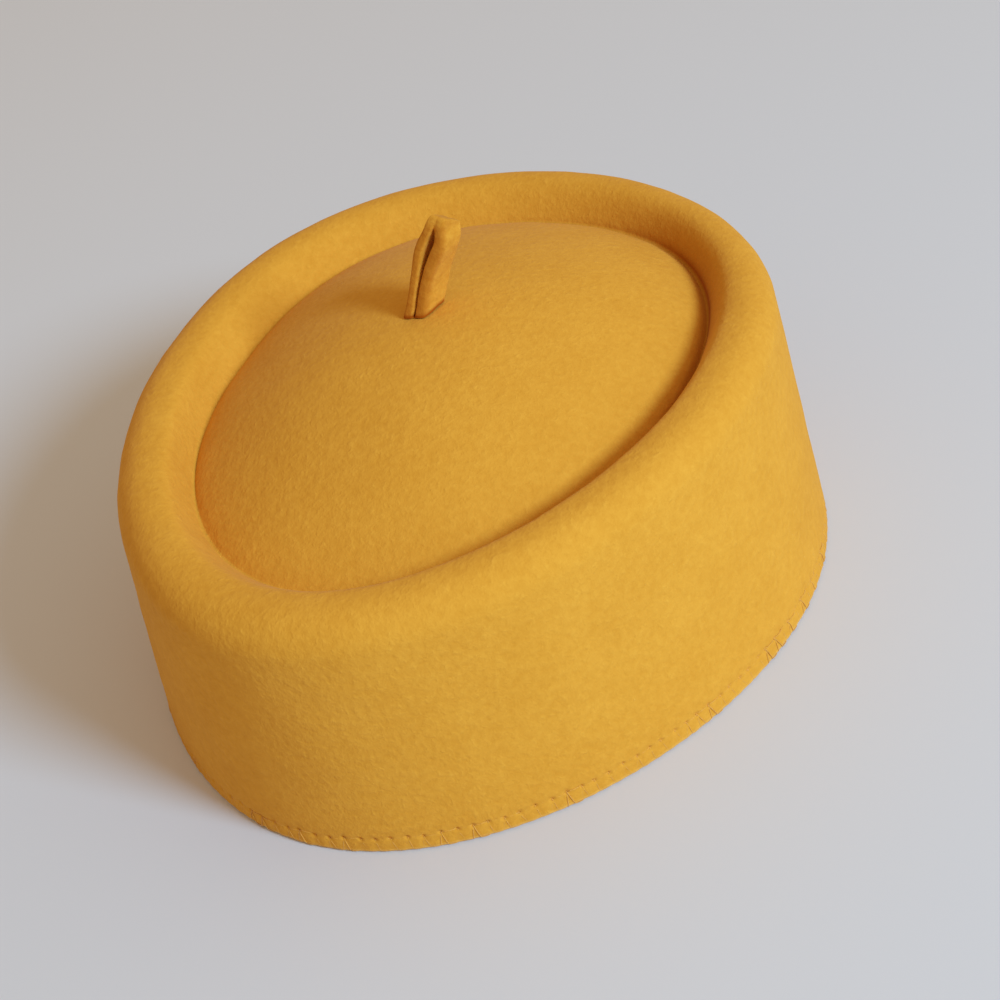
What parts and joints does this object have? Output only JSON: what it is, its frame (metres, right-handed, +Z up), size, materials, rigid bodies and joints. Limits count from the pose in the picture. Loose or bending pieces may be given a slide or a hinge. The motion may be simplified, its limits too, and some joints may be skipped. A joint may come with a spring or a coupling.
{
  "type": "felt pillbox prayer cap",
  "caption": "Moulded wool-felt pillbox cap with an oval plan, rolled rim, creased domed crown and a small folded felt stem on top.",
  "frame": {"origin": "middle of the bottom edge's box, on the surface that the cap stands on", "axes": "+Z up through the dome, +X towards the back of the cap along its length, +Y to the wearer's right"},
  "size_m": [0.2, 0.1822, 0.1073],
  "materials": {
    "felt": "pressed wool felt, golden yellow, matte with a soft fibre nap",
    "stem_felt": "folded wool felt, golden yellow, matte",
    "thread": "golden yellow sewing thread"
  },
  "bodies": {
    "root": {"felt_crown": "felt", "stem": "stem_felt"}
  },
  "joints": []
}
